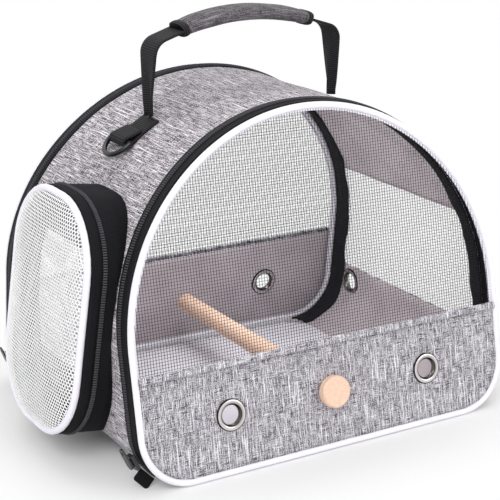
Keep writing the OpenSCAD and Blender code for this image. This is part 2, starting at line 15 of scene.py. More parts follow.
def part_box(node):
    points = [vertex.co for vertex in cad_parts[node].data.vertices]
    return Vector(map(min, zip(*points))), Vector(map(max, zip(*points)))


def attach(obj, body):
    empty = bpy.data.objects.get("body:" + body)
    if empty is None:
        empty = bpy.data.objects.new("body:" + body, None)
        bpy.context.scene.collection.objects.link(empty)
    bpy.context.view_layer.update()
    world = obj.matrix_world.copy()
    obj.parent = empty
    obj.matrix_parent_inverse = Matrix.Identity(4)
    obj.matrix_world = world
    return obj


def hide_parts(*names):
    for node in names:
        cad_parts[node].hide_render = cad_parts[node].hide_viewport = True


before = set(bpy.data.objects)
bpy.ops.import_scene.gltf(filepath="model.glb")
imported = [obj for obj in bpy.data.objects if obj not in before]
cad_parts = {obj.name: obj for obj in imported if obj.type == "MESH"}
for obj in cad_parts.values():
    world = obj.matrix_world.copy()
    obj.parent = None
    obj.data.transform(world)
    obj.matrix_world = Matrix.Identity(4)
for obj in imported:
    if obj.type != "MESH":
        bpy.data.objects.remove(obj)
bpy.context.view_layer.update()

# %% [markdown]
# ## The camera
# It comes first, because each finish is judged through it. The place and the angles were
# found by fitting the outline of the real object: a long lens from a good metre away, to
# the left of the front and a little above. It has no shift, so other views stay centred.

# %% Camera
SENSOR_MM, PHOTO_PIXELS = 36, 500


def add_object(name, data):
    """An object at the origin that shows some data."""
    obj = bpy.data.objects.new(name, data)
    bpy.context.scene.collection.objects.link(obj)
    return obj


def look(yaw, pitch, place, pixels):
    """A camera turned from +Y towards +X by yaw and tipped down by pitch, in degrees.

    pixels is its focal length in pixels of the photograph.
    """
    y, p = math.radians(yaw), math.radians(pitch)
    forward = Vector((math.sin(y) * math.cos(p), math.cos(y) * math.cos(p), -math.sin(p)))
    camera = add_object("camera", bpy.data.cameras.new("camera"))
    camera.data.lens = pixels * SENSOR_MM / PHOTO_PIXELS
    camera.location = place
    camera.rotation_euler = forward.to_track_quat("-Z", "Y").to_euler()
    bpy.context.scene.camera = camera
    return camera


camera = look(30.74, 17.63, (-0.6039, -1.0169, 0.5010), 1506)
print("lens:", round(camera.data.lens, 1))

# %% [markdown]
# ## Sizes that several pieces share
# The tunnel is an arch made of arcs that meet smoothly: bottom corners, straight sides,
# shoulders and crown. Every seam runs along it, so it is written once as a path that gives
# a point and an outward direction for a length of cloth.

# %% Sizes
BODY_W, BODY_H, BASE_D = 0.334, 0.264, 0.270
ARCH_DROP, CROWN_DROP, CORNER_R = 0.004, 0.004, 0.042  # the drops set the rise and the shoulders
FRONT_LEAN, BACK_LEAN = math.radians(11), math.radians(7)
PIPING_R, PIPING_Y = 0.00275, 0.003  # the cord, and how far in its centre lies
PANEL_INSET, WALL = 0.0053, 0.003  # the panels' edge inside the arch, the tunnel's wall
BAND_H, ZIP_W, ZIP_JOIN = 0.086, 0.019, 0.012  # the zip ends, and its tapes meet, this far in
HALF_W = BODY_W / 2
RISE = HALF_W - ARCH_DROP
SPRING_Z, SHOULDER_R = BODY_H - RISE, RISE - CROWN_DROP
SHOULDER_X = HALF_W - SHOULDER_R
CROWN_R = (SHOULDER_X ** 2 + RISE ** 2 - SHOULDER_R ** 2) / (2 * (RISE - SHOULDER_R))
CROWN_A = math.atan2(SHOULDER_X, CROWN_R - RISE)
CORNER_X = HALF_W - CORNER_R
print("crown radius:", round(CROWN_R, 4), "half angle:", round(math.degrees(CROWN_A), 1))

# %% The arch as a length of cloth
ARCS = [  # centre x, centre z, radius, first and last angle; None is a straight side
    (CORNER_X, CORNER_R, CORNER_R, -math.pi / 2, 0),
    None,
    (SHOULDER_X, SPRING_Z, SHOULDER_R, 0, math.pi / 2 - CROWN_A),
    (0, BODY_H - CROWN_R, CROWN_R, math.pi / 2 - CROWN_A, math.pi / 2 + CROWN_A),
    (-SHOULDER_X, SPRING_Z, SHOULDER_R, math.pi / 2 + CROWN_A, math.pi),
    None,
    (-CORNER_X, CORNER_R, CORNER_R, math.pi, 3 * math.pi / 2),
]
SIDE = SPRING_Z - CORNER_R
LENGTHS = [SIDE if a is None else a[2] * (a[4] - a[3]) for a in ARCS]
ARCH = sum(LENGTHS)
STARTS = [sum(LENGTHS[:i]) for i in range(8)]


def arch(s, out=0.0):
    """The arch at length s from the right bottom corner, moved outwards by out: (x, z)."""
    s = min(max(s, 0.0), ARCH)
    i = max(k for k in range(7) if s >= STARTS[k] - 1e-9)
    t = s - STARTS[i]
    if ARCS[i] is None:
        up = i == 1
        return (HALF_W + out, CORNER_R + t) if up else (-HALF_W - out, SPRING_Z - t)
    x, z, r, a, _ = ARCS[i]
    a += t / r
    return x + (r + out) * math.cos(a), z + (r + out) * math.sin(a)


print("cloth round the arch:", round(ARCH, 4))

# %% [markdown]
# ## The leaning end panels
# The front panel leans back and the back panel leans forward. Each could be drawn upright
# and turned, but a finished piece has its place in its mesh. So a piece of a panel is drawn
# flat, as across, in from the outer face, and up, and each corner is carried to its leaning
# place as it is made.

# %% Leaning frames
def lean_frame(way, lean):
    """How things are placed on an end panel: way is -1 at the front and 1 at the back."""
    c, s = math.cos(lean), math.sin(lean)
    outer_y = BASE_D / 2 - PIPING_R

    def place(x, y, z):
        """A place across the panel, in from its outer face, and up it."""
        y, z = y - PIPING_Y, z - PIPING_R
        return Vector((x, way * (outer_y - y * c - z * s), PIPING_R - y * s + z * c))

    def wall_y(z, depth):
        """Where the tunnel wall at height z lies this far behind the panel's face."""
        return way * (outer_y - (z - PIPING_R) * math.tan(lean) - (depth - PIPING_Y) / c)

    return place, wall_y


front, front_y = lean_frame(-1, FRONT_LEAN)
back, back_y = lean_frame(1, BACK_LEAN)
ENDS = {"front": (front, front_y, FRONT_LEAN), "back": (back, back_y, BACK_LEAN)}
print("front top edge at y:", round(front_y(BODY_H, 0), 4))

# %% [markdown]
# ## Cloth from a grid
# A woven piece is a rectangle of thread before it is sewn, so most pieces here start as a
# flat bmesh grid whose corners are carried to their place. The same two numbers make the
# UV map, in metres of cloth, and the weave then follows each piece round its curves.

# %% Helpers for cloth
def steps(a, b, n):
    return [a + (b - a) * i / n for i in range(n + 1)]


def grid(us, vs, place, keep=None):
    """A bmesh of cloth: place(u, v) gives each corner of the grid of us by vs."""
    bm = bmesh.new()
    bmesh.ops.create_grid(bm, x_segments=len(us) - 1, y_segments=len(vs) - 1, size=0.5)
    uv = bm.loops.layers.uv.new("cloth")
    lines = {v: (round((v.co.x + 0.5) * (len(us) - 1)), round((v.co.y + 0.5) * (len(vs) - 1)))
             for v in bm.verts}
    for face in bm.faces:
        for loop in face.loops:
            i, j = lines[loop.vert]
            loop[uv].uv = (us[i], vs[j])
    if keep:
        middles = {f: (sum(us[lines[v][0]] for v in f.verts) / 4,
                       sum(vs[lines[v][1]] for v in f.verts) / 4) for f in bm.faces}
        bmesh.ops.delete(bm, geom=[f for f in bm.faces if not keep(*middles[f])],
                         context="FACES")
    for v in bm.verts:
        i, j = lines[v]
        v.co = place(us[i], vs[j])
    bmesh.ops.remove_doubles(bm, verts=bm.verts, dist=1e-6)
    return bm


def mesh_object(name, bm):
    """An object from a bmesh, which is used up."""
    mesh = bpy.data.meshes.new(name)
    bm.to_mesh(mesh)
    bm.free()
    return add_object(name, mesh)


def piece(name, bm, body, materials, stands_for=(), thick=0.0, offset=-1.0,
          inner=0, smooth=True):
    """Makes the object, gives it its finish and sews it to its body."""
    obj = mesh_object(name, bm)
    mesh = obj.data
    for m in materials if isinstance(materials, (list, tuple)) else [materials]:
        mesh.materials.append(m)
    mesh.polygons.foreach_set("use_smooth", [smooth] * len(mesh.polygons))
    if thick:
        solid = obj.modifiers.new("thickness", "SOLIDIFY")
        solid.thickness = thick
        solid.offset = offset
        solid.material_offset = inner
    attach(obj, body)
    if stands_for:
        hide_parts(*stands_for)
    return obj


def along_path(points):
    """How far along a path each of its points lies."""
    lengths = [0.0]
    for a, b in zip(points, points[1:]):
        lengths.append(lengths[-1] + math.dist(a, b))
    return lengths


def cord(points, r, sides=12):
    """A round cord along a closed loop of points, as a grid bent into a tube."""
    n = len(points)
    lengths = along_path(points + points[:1])
    normal = (points[1] - points[0]).cross(points[n // 3] - points[0]).normalized()
    where = {length: i for i, length in enumerate(lengths)}

    def place(u, v):
        i = where[u]
        side = (points[(i + 1) % n] - points[i - 1]).normalized().cross(normal)
        turn = v / r
        return points[i % n] + (side * math.cos(turn) + normal * math.sin(turn)) * r

    bm = grid(lengths, steps(0, 2 * math.pi * r, sides), place)
    bmesh.ops.remove_doubles(bm, verts=bm.verts, dist=1e-5)
    bmesh.ops.recalc_face_normals(bm, faces=bm.faces)
    return bm


def wrinkle(p, size, depth):
    """A gentle wave in cloth, the same on each run."""
    return noise.noise(Vector(p) / size) * depth


def srgb(r, g, b):
    """A colour given from 0 to 255, as the linear values that a shader takes."""
    return tuple((c / 255 / 12.92 if c <= 10 else ((c / 255 + 0.055) / 1.055) ** 2.4)
                 for c in (r, g, b)) + (1.0,)


print("helpers ready")

# %% [markdown]
# ## Finishes
# Each finish is a small node tree. A cloth reads its own UV map, in metres, so that its
# threads follow the piece: heather cloth has slubs, webbing has ribs, net and piping are
# smooth. Wood and metal read the object's coordinates. Bump comes from the same threads as
# the colour, so light and pattern agree.

# %% Helpers for finishes
def finish(name, colour, roughness, metallic=0.0, sheen=0.0, specular=0.5):
    material = bpy.data.materials.new(name)
    material.use_nodes = True
    shader = material.node_tree.nodes["Principled BSDF"]
    shader.inputs["Base Color"].default_value = colour
    shader.inputs["Roughness"].default_value = roughness
    shader.inputs["Metallic"].default_value = metallic
    shader.inputs["Sheen Weight"].default_value = sheen
    shader.inputs["Specular IOR Level"].default_value = specular
    material.diffuse_color = colour
    return material, material.node_tree, shader


def node(tree, kind, **values):
    made = tree.nodes.new(kind)
    for key, value in values.items():
        if hasattr(made, key):
            setattr(made, key, value)
        else:
            made.inputs[key.replace("_", " ")].default_value = value
    return made


def threads(tree, scale, detail=2.0, turn=0.0, on_cloth=True):
    """Noise drawn out into threads: scale is how many per metre along and across."""
    where = node(tree, "ShaderNodeTexCoord")
    place = node(tree, "ShaderNodeMapping")
    place.inputs["Scale"].default_value = scale
    place.inputs["Rotation"].default_value = (0, 0, turn)
    pattern = node(tree, "ShaderNodeTexNoise", Scale=1.0, Detail=detail, Roughness=0.55)
    tree.links.new(where.outputs["UV" if on_cloth else "Object"], place.inputs["Vector"])
    tree.links.new(place.outputs["Vector"], pattern.inputs["Vector"])
    return pattern.outputs["Fac"]


def ramp(tree, value, stops):
    made = node(tree, "ShaderNodeValToRGB")
    band = made.color_ramp
    while len(band.elements) < len(stops):
        band.elements.new(0.5)
    for element, (at, colour) in zip(band.elements, stops):
        element.position = at
        element.color = colour
    tree.links.new(value, made.inputs["Fac"])
    return made.outputs["Color"]


def mix(tree, a, b, fac=0.5):
    made = node(tree, "ShaderNodeMix", data_type="RGBA")
    made.inputs[0].default_value = fac
    tree.links.new(a, made.inputs[6])
    tree.links.new(b, made.inputs[7])
    return made.outputs[2]


def over(tree, base, mask, colour):
    """Lays one plain colour over another wherever the mask is white."""
    made = node(tree, "ShaderNodeMix", data_type="RGBA")
    tree.links.new(mask, made.inputs[0])
    tree.links.new(base, made.inputs[6])
    made.inputs[7].default_value = colour
    return made.outputs[2]


def bump(tree, shader, value, distance, strength=0.6):
    made = node(tree, "ShaderNodeBump", Strength=strength, Distance=distance)
    tree.links.new(value, made.inputs["Height"])
    tree.links.new(made.outputs["Normal"], shader.inputs["Normal"])


print("finish helpers ready")

# %% [markdown]
# ### Heather cloth
# The tunnel, the bands and the grip are of one kind of melange cloth, in three tones. A
# picture of cloth would repeat and blur, while noise drawn out into threads stays sharp at
# any distance. Fine specks and short streaks are mixed for the ground, dark and pale threads
# cross it, and long white slubs lie on top.

# %% Heather
BLACK, WHITE = (0, 0, 0, 1), (1, 1, 1, 1)


def heather_cloth(name, dark, mid, pale, white, yarn=1.0):
    """Fine dark and pale yarn, crossed by more of both, with long white slubs along it."""
    material, tree, shader = finish(name, mid, 0.85, sheen=0.05, specular=0.2)
    weave = threads(tree, (1300 / yarn, 1600 / yarn, 1), 0)
    streak = threads(tree, (110 / yarn, 1700 / yarn, 1), 1, 0.008)
    slubs = threads(tree, (28, 1500 / yarn, 1), 1)
    cross = threads(tree, (1700 / yarn, 90, 1), 1, 0.012)
    stops = [(0.43, dark), (0.50, mid), (0.57, pale)]
    cloth = mix(tree, ramp(tree, weave, stops), ramp(tree, streak, stops))
    low = ramp(tree, cross, [(0.32, WHITE), (0.39, BLACK)])
    high = ramp(tree, cross, [(0.64, BLACK), (0.70, WHITE)])
    cloth = over(tree, over(tree, cloth, low, dark), high, pale)
    long = ramp(tree, slubs, [(0.61, BLACK), (0.67, WHITE)])
    tree.links.new(over(tree, cloth, long, white), shader.inputs["Base Color"])
    bump(tree, shader, streak, 0.0003)
    return material


heather = heather_cloth("heather_cloth", srgb(36, 30, 36), srgb(128, 121, 128),
                        srgb(238, 232, 238), srgb(250, 245, 250), yarn=1.35)
heather_band = heather_cloth("heather_band_cloth", srgb(36, 32, 40), srgb(124, 120, 128),
                             srgb(230, 227, 234), srgb(249, 247, 251))
heather_grip = heather_cloth("heather_grip_cloth", srgb(30, 27, 31), srgb(74, 70, 75),
                             srgb(134, 130, 135), srgb(166, 162, 167))
print("heather made")


# %% Lining, tape, webbing and piping
def plain_cloth(name, colour, shade, fine=1600, sheen=0.1):
    material, tree, shader = finish(name, colour, 0.9, sheen=sheen, specular=0.15)
    weave = threads(tree, (fine, fine, 1), 2)
    # Large patches between the two tones. On the lining they stand for the shade of soft folds,
    # painted shade; on the other cloths they are a random tone of the yarn.
    drift_and_fold_shade = threads(tree, (30, 30, 1), 3)
    small = ramp(tree, weave, [(0.35, shade), (0.65, colour)])
    large = ramp(tree, drift_and_fold_shade, [(0.35, shade), (0.60, colour)])
    tree.links.new(mix(tree, small, large, 0.4), shader.inputs["Base Color"])
    bump(tree, shader, weave, 0.0002)
    return material


def ribbed_cloth(name, colour, shade, ribs):
    """Webbing and zip tape: fine ribs across, with the yarn's small unevenness."""
    material, tree, shader = finish(name, colour, 0.7, specular=0.2)
    where = node(tree, "ShaderNodeTexCoord")
    # At scale 1 the wave texture has 10 / pi ribs to the metre.
    wave = node(tree, "ShaderNodeTexWave", Scale=ribs * math.pi / 10, Distortion=0.6,
                Detail=1.0)
    tree.links.new(where.outputs["UV"], wave.inputs["Vector"])
    tree.links.new(ramp(tree, wave.outputs["Fac"], [(0.2, shade), (0.8, colour)]),
                   shader.inputs["Base Color"])
    bump(tree, shader, wave.outputs["Fac"], 0.0003)
    return material


pad_cloth = plain_cloth("pad_cloth", srgb(228, 226, 234), srgb(214, 211, 220))
# The lining's darker tone is deep, so its large patches are painted fold shade; in the fine
# weave it is the yarn's own tone.
lining = plain_cloth("lining_cloth", srgb(204, 196, 199), srgb(170, 161, 166))
black_tape = ribbed_cloth("zip_tape", srgb(30, 29, 32), srgb(10, 10, 12), 900)
pocket_cloth = plain_cloth("pocket_cloth", srgb(30, 29, 33), srgb(18, 18, 21), 900, 0.0)
webbing = ribbed_cloth("webbing", srgb(46, 45, 48), srgb(10, 10, 12), 560)
piping_cloth = plain_cloth("piping_cloth", srgb(246, 244, 250), srgb(238, 235, 246), 500)
white_net = plain_cloth("white_net_yarn", srgb(252, 252, 252), srgb(240, 240, 241), 700)
black_net = plain_cloth("black_net_yarn", srgb(34, 34, 38), srgb(20, 20, 24), 700, 0.0)
print("cloths made")


# %% Wood and metal
def bare_wood(name, light, dark):
    material, tree, shader = finish(name, light, 0.55)
    grain = threads(tree, (420, 14, 420), 3, on_cloth=False)
    tree.links.new(ramp(tree, grain, [(0.3, dark), (0.7, light)]), shader.inputs["Base Color"])
    bump(tree, shader, grain, 0.0003, 0.4)
    return material


def bare_metal(name, colour, roughness):
    material, tree, shader = finish(name, colour, roughness, metallic=1.0)
    scratch = threads(tree, (900, 900, 900), 3, on_cloth=False)
    bump(tree, shader, scratch, 0.0001, 0.15)
    return material


wood = bare_wood("pale_wood", srgb(240, 208, 186), srgb(230, 193, 168))
nickel = bare_metal("nickel", srgb(150, 147, 146), 0.25)
dark_metal = bare_metal("dark_metal", srgb(74, 73, 75), 0.35)
black_paint, _, _ = finish("black_paint", srgb(14, 14, 16), 0.3)
# The zip's teeth are near black. The darker tone is their own, and the lighter grey stands for
# the glints along them: painted highlight.
tooth_coil_painted_glint = plain_cloth("zip_coil", srgb(104, 102, 107), srgb(40, 39, 42), 600, 0.0)
print("wood and metal made")


# %% Finish the solids that stay
def dress(names, material):
    for name in names:
        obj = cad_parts[name]
        obj.data.materials.clear()
        obj.data.materials.append(material)
        for polygon in obj.data.polygons:
            polygon.use_smooth = False


dress(["perch", "perch_nut"], wood)
dress(["perch_screw"], nickel)
dress(["front_zip_tab", "back_zip_tab"], pocket_cloth)
dress([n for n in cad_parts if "slider" in n], dark_metal)
dress(["d_ring_left", "d_ring_right"], black_paint)
print("solids dressed")

# %% [markdown]
# ## The tunnel
# One length of padded heather cloth goes round the arch, from corner to corner, with a plain
# lining inside and a net window low in each side. It is a grid whose lines fall on the
# window's edges, so the window is cut by leaving faces out, and a Solidify modifier gives
# the pad its thickness and turns the inner face into lining.

# %% Where the tunnel's cloth goes
WINDOW_Z, WINDOW_H, WINDOW_EDGE = 0.058, 0.098, 0.005
LONG_STEPS = 34  # the grid's steps from front to back
LEFT_FROM = 4 / LONG_STEPS  # the left window starts behind the pocket's front edge
CLOTH_IN = 0.0006  # the cloth lies this far inside the solid, which allows for its waves
PUFF, PUFF_SIZE = 0.0011, 0.035  # the depth and breadth of the pad's waves
LOW_CLOTH = 0.12  # this much cloth from each bottom edge lies flatter
LOWEST = 0.0002  # the cloth stays this far above the floor


def arch_at(z):
    """The length along the right side's cloth at height z."""
    a, b = 0.0, ARCH / 2
    for _ in range(40):
        m = (a + b) / 2
        a, b = (m, b) if arch(m)[1] < z else (a, m)
    return a


WINDOW_S = (arch_at(WINDOW_Z), arch_at(WINDOW_Z + WINDOW_H))


def depth_y(z, t):
    """t from -1 to 0 is the front margin, 0 to 1 the middle, 1 to 2 the back margin."""
    edge = ZIP_W + WINDOW_EDGE
    if t < 0:
        return front_y(z, edge + t * WINDOW_EDGE)
    if t > 1:
        return back_y(z, edge - (t - 1) * WINDOW_EDGE)
    return front_y(z, edge) * (1 - t) + back_y(z, edge) * t


def tunnel_place(u, v):
    y = depth_y(arch(u)[1], v)
    edge = min(1.0, (v + 1) * 2, (2 - v) * 2)
    loose = 1 if LOW_CLOTH < u < ARCH - LOW_CLOTH else 0.3
    x, z = arch(u, wrinkle((u, y, 0.3), PUFF_SIZE, PUFF * edge * loose) - CLOTH_IN)
    return Vector((x, y, max(z, LOWEST)))


def beside_windows(u, v):
    side, start = (u, 0) if u < ARCH / 2 else (ARCH - u, LEFT_FROM)
    return not (start < v < 1 and WINDOW_S[0] < side < WINDOW_S[1])


print("window from", round(WINDOW_S[0], 4), "to", round(WINDOW_S[1], 4), "along the cloth")

# %% Weave and outside
UP = Vector((0, 0, 1))
CROWN_LOW = 0.2  # cloth above this height faces up


def map_cloth(bm, where):
    """Lays the weave: where(corner, uv) gives the metres of cloth along and across."""
    layer = bm.loops.layers.uv.get("cloth") or bm.loops.layers.uv.new("cloth")
    for face in bm.faces:
        for loop in face.loops:
            loop[layer].uv = where(loop.vert.co, loop[layer].uv)


def face_out(bm, way, above=0.0):
    """Turns a sheet so that its faces above a height, taken together, look that way."""
    bmesh.ops.recalc_face_normals(bm, faces=bm.faces)
    normals = (f.normal for f in bm.faces if f.calc_center_median().z > above)
    if sum(normals, Vector()).dot(way) < 0:
        bmesh.ops.reverse_faces(bm, faces=bm.faces)


print("weave helpers ready")

# %% Tunnel cloth
side_us = steps(0, STARTS[1], 14) + steps(STARTS[1], WINDOW_S[0], 2)[1:]
side_us += steps(*WINDOW_S, 16)[1:]
top_us = steps(WINDOW_S[1], ARCH - WINDOW_S[1], 90)[1:-1]
us = side_us + top_us + [ARCH - u for u in side_us][::-1]
vs = [-1, -0.5] + steps(0, 1, LONG_STEPS) + [1.5, 2]
bm = grid(us, vs, tunnel_place, keep=beside_windows)
map_cloth(bm, lambda corner, uv: (corner.y, uv[0]))
face_out(bm, UP, CROWN_LOW)
tunnel = piece("tunnel_cloth", bm, "body", [heather, lining],
               ["gusset_left", "gusset_right", "gusset_top"], thick=WALL - CLOTH_IN, inner=1)
print("tunnel faces:", len(tunnel.data.polygons))

# %% [markdown]
# ## Underside and floor pad
# The underside is a flat piece of the same cloth, and a stiff pad lies on it. A plane would
# be enough from above, but the underside shows its edge where the carrier meets the floor,
# and the pad shows its own through the net, so each is a shallow block with bevelled edges.

# %% Underside and floor pad
LEVEL = Matrix.Identity(3)


def block(bm, centre, size, axes=LEVEL):
    """A box whose length, width and height lie along three directions; gives its corners."""
    turn = Matrix(axes).transposed().to_4x4()
    made = bmesh.ops.create_cube(bm, size=1, matrix=Matrix.Translation(centre) @ turn
                                 @ Matrix.Diagonal((*size, 1)))
    return made["verts"]


def slab(name, solid, body, material, round_r=0.0, edge=0.001):
    """A pad that fills a solid's box, with its corners rounded and its rims softened."""
    low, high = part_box(solid)
    size = high - low
    bm = bmesh.new()
    block(bm, (low + high) / 2, size)
    if round_r:
        upright = [e for e in bm.edges if abs((e.verts[0].co - e.verts[1].co).z) > size[2] / 2]
        bmesh.ops.bevel(bm, geom=upright, offset=round_r, segments=8, affect="EDGES",
                        profile=0.5, material=-1)
    rims = [e for e in bm.edges if abs((e.verts[0].co - e.verts[1].co).z) < 1e-6
            and len(e.link_faces) == 2 and e.calc_face_angle(0) > 1]
    bmesh.ops.bevel(bm, geom=rims, offset=edge, segments=3, affect="EDGES", profile=0.5,
                    material=-1)
    map_cloth(bm, lambda corner, uv: (corner.y, corner.x))
    return piece(name, bm, body, material, [solid])


slab("underside", "base_panel", "body", heather)
slab("floor_pad", "floor_board", "floor_board", pad_cloth, round_r=0.024, edge=0.0016)
print("underside and floor pad made")

# %% [markdown]
# ## Zips
# Each end has a zip round the arch: a tape on the tunnel with the closed teeth along its
# edge, a smooth tape on the door, and a binding over the seam inside. The tapes are thin
# grids. The teeth could be painted on, but a few-faced block for each, as far apart as real
# teeth, keeps the zip a zip at any distance.

# %% Zip tapes
GAP, TAPE_T, DOOR_TAPE_T = 0.0005, 0.0012, 0.0014
TAPE_OUT = 0.0004  # the tunnel's tape lies this far outside the arch
BINDING_WAVE, BINDING_WAVE_SIZE = 0.003, 0.02


def strip(name, end, depth, out, thick, body, material, stands_for=(), wave=0.0):
    """Cloth round the arch between two depths behind an end panel."""
    _, y_at, _ = ENDS[end]

    def place(u, v):
        x, z = arch(u, out)
        edge = v + (wrinkle((u, 0.4, v), BINDING_WAVE_SIZE, wave) if v == depth[1] else 0)
        return Vector((x, y_at(z, edge), z))

    bm = grid(steps(0, ARCH, 150), steps(*depth, 4), place)
    face_out(bm, UP, CROWN_LOW)
    return piece(name, bm, body, material, stands_for, thick=thick)


def tapes(end):
    strip(end + "_tunnel_tape", end, (ZIP_JOIN + GAP, ZIP_W + 0.001), TAPE_OUT, TAPE_T, "body",
          black_tape, [end + "_body_tape"])
    strip(end + "_door_zip_tape", end, (PIPING_Y + 0.0022, ZIP_JOIN), 0.0, DOOR_TAPE_T,
          end + "_door", black_tape, [end + "_door_tape"])
    strip(end + "_inside_binding", end, (ZIP_JOIN + 0.004, ZIP_W + 0.010), -WALL - 0.0004,
          TAPE_T, "body", pocket_cloth, wave=BINDING_WAVE)


print("tape width:", round(ZIP_W + 0.001 - ZIP_JOIN - GAP, 4))

# %% Zip teeth
COIL_W, COIL_H, PITCH = 0.004, 0.0012, 0.0019
TOOTH = (PITCH * 0.62, COIL_W * 0.8, COIL_H)
TOOTH_TIP = 0.72  # the outer end of a tooth, as a share of its foot
ZIP_END = 0.025  # the cloth left bare beyond each end of the coil


def teeth(name, rows, stands_for):
    """A closed coil: rows gives (place, along, outwards) for each tooth."""
    bm = bmesh.new()
    for place, along, out in rows:
        corners = block(bm, place, TOOTH, (along, out.cross(along), out))
        top = [v for v in corners if (v.co - place).dot(out) > 0]
        bmesh.ops.scale(bm, vec=(TOOTH_TIP,) * 3, verts=top,
                        space=Matrix.Translation(-place - out * COIL_H / 2))
    return piece(name, bm, "body", tooth_coil_painted_glint, stands_for, smooth=False)


def coil_rows(end):
    """The teeth of an end zip, on the tunnel's tape."""
    _, y_at, _ = ENDS[end]
    depth = ZIP_JOIN + GAP + COIL_W / 2
    rows = []
    for k in range(int((ARCH - 2 * ZIP_END) / PITCH)):
        s = ZIP_END + k * PITCH
        x, z = arch(s)
        x1, z1 = arch(s + 1e-4)
        x2, z2 = arch(s, 0.001)
        y, y1 = y_at(z, depth), y_at(z1, depth)
        out = Vector((x2 - x, 0, z2 - z)).normalized()
        along = Vector((x1 - x, y1 - y, z1 - z)).normalized()
        out = (out - along * out.dot(along)).normalized()
        rows.append((Vector((x, y, z)) + out * (TAPE_OUT + COIL_H / 2), along, out))
    return rows


for end in ENDS:
    tapes(end)
    rows = coil_rows(end)
    teeth(end + "_zip_teeth", rows, [end + "_coil"])
    print(end, "zip:", len(rows), "teeth")

# %% [markdown]
# ## End panels
# A panel is a band of heather cloth below and a square net above, with a thick white piping
# cord round both. A net could be a picture with holes on a flat sheet. Here it is real
# thread, thin strips at the net's own pitch, cut to the arch, so it lets the inside show and
# casts a true shadow.

# %% Panel shapes
def up_panel(z, lean):
    """How far up a leaning panel a point at height z lies."""
    return PIPING_R + (z - PIPING_R) / math.cos(lean)


def top_at(x, inset, lean):
    """Height up the panel of the arch, drawn in by inset, over a place across it."""
    x = abs(x)
    if x < (CROWN_R - inset) * math.sin(CROWN_A):
        z = BODY_H - CROWN_R + math.sqrt((CROWN_R - inset) ** 2 - x * x)
    else:
        z = SPRING_Z + math.sqrt(max(0, (SHOULDER_R - inset) ** 2 - (x - SHOULDER_X) ** 2))
    return up_panel(z, lean)


def side_at(v, inset, lean):
    """Half width of the arch, drawn in by inset, at a height up the panel."""
    z = PIPING_R + (v - PIPING_R) * math.cos(lean)
    if z < CORNER_R:
        return CORNER_X + math.sqrt(max(0, (CORNER_R - inset) ** 2 - (CORNER_R - z) ** 2))
    if z < SPRING_Z:
        return HALF_W - inset
    if z < SPRING_Z + (SHOULDER_R - inset) * math.cos(CROWN_A):
        return SHOULDER_X + math.sqrt((SHOULDER_R - inset) ** 2 - (z - SPRING_Z) ** 2)
    return math.sqrt(max(0, (CROWN_R - inset) ** 2 - (z - BODY_H + CROWN_R) ** 2))


def panel_path(inset, lean, place_in, y):
    """The closed outline of a panel, drawn in by inset, as points in space."""
    points = []
    for s in steps(0, ARCH, 260)[:-1]:
        x, z = arch(s, -inset)
        points.append(place_in(x, y, up_panel(z, lean)))
    foot = up_panel(inset, lean)
    return points + [place_in(x, y, foot) for x in steps(-CORNER_X, CORNER_X, 40)[:-1]]


print("half width at the band's top:", round(side_at(BAND_H, PANEL_INSET, FRONT_LEAN), 4))

# %% Bands
EYELET_X, EYELET_Z = 0.090, 0.046
EYELET_HOLE, SCREW_HOLE = 0.0087, 0.0035
BAND_Y, BAND_T = 0.0018, 0.0024  # how far in from the panel's face, and how thick


def bore(obj, holes, direction):
    """Cuts round holes, given as (centre, radius), through a closed piece of cloth."""
    turn = Vector(direction).to_track_quat("Z", "Y").to_matrix().to_4x4()
    for centre, r in holes:
        bm = bmesh.new()
        bmesh.ops.create_cone(bm, cap_ends=True, segments=48, radius1=r, radius2=r, depth=0.04,
                              matrix=Matrix.Translation(centre) @ turn)
        cutter = mesh_object("cutter", bm)
        cut = obj.modifiers.new("hole", "BOOLEAN")
        cut.object = cutter
        cut.solver = "EXACT"
        bpy.context.view_layer.update()
        done = obj.evaluated_get(bpy.context.evaluated_depsgraph_get())
        mesh = bpy.data.meshes.new_from_object(done)
        obj.modifiers.clear()
        obj.data = mesh
        bpy.data.objects.remove(cutter)


def band(end):
    place_in, _, lean = ENDS[end]

    def place(u, v):
        x = u * side_at(max(v, up_panel(PANEL_INSET, lean)), PANEL_INSET, lean)
        # The padding is full in the middle and flat where the band is sewn.
        edge = min(1.0, (1 - abs(u)) * 6, (v - 0.009) * 40, (BAND_H - v) * 40)
        puff = wrinkle((x, v, 0.7), 0.05, 0.0012) * max(edge, 0)
        return place_in(x, BAND_Y + puff, v)

    bm = grid(steps(-1, 1, 60), steps(up_panel(PANEL_INSET, lean) + 1e-5, BAND_H, 24), place)
    map_cloth(bm, lambda corner, uv: (corner.z, corner.x))
    inwards = place_in(0, 1, 0) - place_in(0, 0, 0)
    face_out(bm, -inwards)
    obj = piece(end + "_band_cloth", bm, end + "_door", [heather_band, lining],
                [end + "_band"], thick=BAND_T, inner=1)
    holes = [(place_in(s * EYELET_X, PIPING_Y, EYELET_Z), EYELET_HOLE) for s in (-1, 1)]
    if end == "front":
        holes.append((place_in(0, PIPING_Y, EYELET_Z), SCREW_HOLE))
    bore(obj, holes, inwards)
    return obj


for end in ENDS:
    print(end, "band faces:", len(band(end).data.polygons))


# %% Window nets
NET_PITCH, THREAD_T = 0.00235, 0.0003
THREAD_W = {"front": 0.00023, "back": 0.00008}  # thinner behind, or two nets make a moire


